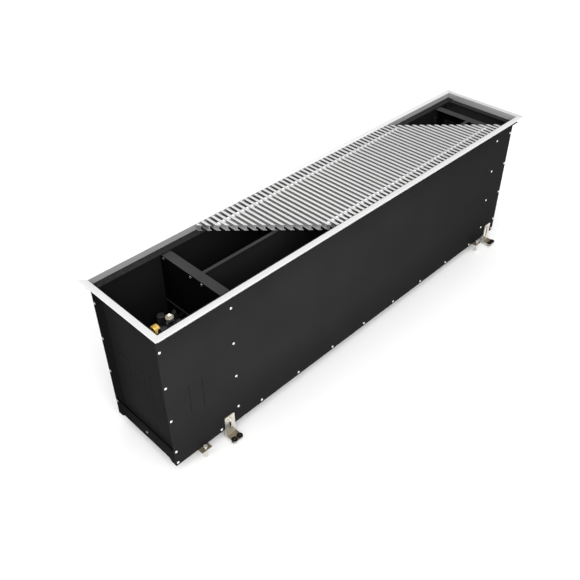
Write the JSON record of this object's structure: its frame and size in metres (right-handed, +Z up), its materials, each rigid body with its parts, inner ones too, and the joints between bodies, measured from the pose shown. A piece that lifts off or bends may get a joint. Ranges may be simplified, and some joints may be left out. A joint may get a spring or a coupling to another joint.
{
  "type": "trench_convector_heater",
  "caption": "Deep trench convector heater: black steel casing under an aluminium floor frame, slatted grille cut on the slant, finned exchanger, valves, levelling bolts and brackets",
  "frame": {"origin": "On the sub-floor, at the middle of the part's bounding box seen from above, at the height of the levelling bolts' lower ends", "axes": "+X along the heater away from the valves, +Y to the rear side, +Z up"},
  "size_m": [1.485, 0.3224, 0.488],
  "materials": {
    "casing_steel": "satin black powder coat",
    "frame_aluminium": "clear anodised",
    "grille_aluminium": "clear anodised",
    "grille_wire": "drawn wire",
    "black_rubber": "matt",
    "copper": "drawn copper",
    "nickel_brass": "nickel plated brass",
    "yellow_brass": "bare brass",
    "dark_metal": "dark plated brass",
    "black_plastic": "moulded",
    "rivet_aluminium": "bright",
    "zinc_steel": "zinc plated"
  },
  "bodies": {
    "base": {"front_side_panel": "casing_steel", "rear_side_panel": "casing_steel", "left_end_plate": "casing_steel", "right_end_plate": "casing_steel", "bottom_pan": "casing_steel", "left_partition": "casing_steel", "right_partition": "casing_steel", "centre_divider": "casing_steel", "frame_front_rail": "frame_aluminium", "frame_rear_rail": "frame_aluminium", "frame_left_rail": "frame_aluminium", "frame_right_rail": "frame_aluminium", "frame_corner_keys": "frame_aluminium", "grille_support_strips": "black_rubber", "exchanger_fins": "frame_aluminium", "exchanger_tubes": "copper", "exchanger_return_bends": "copper", "exchanger_end_sheets": "frame_aluminium", "exchanger_brackets": "casing_steel", "supply_valve_body": "dark_metal", "supply_union_nut": "yellow_brass", "supply_coupling": "dark_metal", "return_valve_body": "dark_metal", "return_union_nut": "dark_metal", "return_coupling": "dark_metal", "air_vent_body": "dark_metal", "side_rivets": "rivet_aluminium", "end_rivets": "rivet_aluminium", "partition_rivets": "rivet_aluminium", "levelling_tabs": "zinc_steel", "levelling_nuts": "zinc_steel", "bracket_bolts": "zinc_steel", "bracket_washers": "zinc_steel", "bracket_nuts": "zinc_steel"},
    "grille": {"grille_slats": "grille_aluminium", "grille_spacers": "grille_aluminium", "grille_wires": "grille_wire"},
    "supply_cap": {"supply_valve_cap": "black_plastic"},
    "return_cap": {"return_valve_cap": "nickel_brass"},
    "vent_screw": {"air_vent_screw": "dark_metal"},
    "front_left_foot_bracket": {"front_left_bracket": "zinc_steel", "front_left_bushes": "black_rubber"},
    "front_left_bolt": {"front_left_levelling_bolt": "zinc_steel"},
    "front_right_foot_bracket": {"front_right_bracket": "zinc_steel", "front_right_bushes": "black_rubber"},
    "front_right_bolt": {"front_right_levelling_bolt": "zinc_steel"},
    "rear_left_foot_bracket": {"rear_left_bracket": "zinc_steel", "rear_left_bushes": "black_rubber"},
    "rear_left_bolt": {"rear_left_levelling_bolt": "zinc_steel"},
    "rear_right_foot_bracket": {"rear_right_bracket": "zinc_steel", "rear_right_bushes": "black_rubber"},
    "rear_right_bolt": {"rear_right_levelling_bolt": "zinc_steel"}
  },
  "joints": [
    {"name": "grille_lift", "type": "slide", "parent": "base", "child": "grille", "axis": [0, 0, 1], "range_m": [0, 0.06]},
    {"name": "front_left_bracket_slide", "type": "slide", "parent": "base", "child": "front_left_foot_bracket", "axis": [0, 0, 1], "range_m": [0, 0.029]},
    {"name": "front_left_levelling", "type": "slide", "parent": "base", "child": "front_left_bolt", "axis": [0, 0, 1], "range_m": [-0.006, 0.02]},
    {"name": "front_right_bracket_slide", "type": "slide", "parent": "base", "child": "front_right_foot_bracket", "axis": [0, 0, 1], "range_m": [0, 0.029]},
    {"name": "front_right_levelling", "type": "slide", "parent": "base", "child": "front_right_bolt", "axis": [0, 0, 1], "range_m": [-0.006, 0.02]},
    {"name": "rear_left_bracket_slide", "type": "slide", "parent": "base", "child": "rear_left_foot_bracket", "axis": [0, 0, 1], "range_m": [0, 0.029]},
    {"name": "rear_left_levelling", "type": "slide", "parent": "base", "child": "rear_left_bolt", "axis": [0, 0, 1], "range_m": [-0.006, 0.02]},
    {"name": "rear_right_bracket_slide", "type": "slide", "parent": "base", "child": "rear_right_foot_bracket", "axis": [0, 0, 1], "range_m": [0, 0.029]},
    {"name": "rear_right_levelling", "type": "slide", "parent": "base", "child": "rear_right_bolt", "axis": [0, 0, 1], "range_m": [-0.006, 0.02]},
    {"name": "supply_cap_turn", "type": "hinge", "parent": "base", "child": "supply_cap", "pos_m": [-0.5778, 0.086, 0.304], "axis": [0, 0, 1], "continuous": true},
    {"name": "return_cap_turn", "type": "hinge", "parent": "base", "child": "return_cap", "pos_m": [-0.5778, 0.046, 0.328], "axis": [0, 0, 1], "continuous": true},
    {"name": "vent_screw_turn", "type": "hinge", "parent": "base", "child": "vent_screw", "pos_m": [-0.5373, 0.086, 0.3], "axis": [0, 0, 1], "range_deg": [0, 360]}
  ]
}
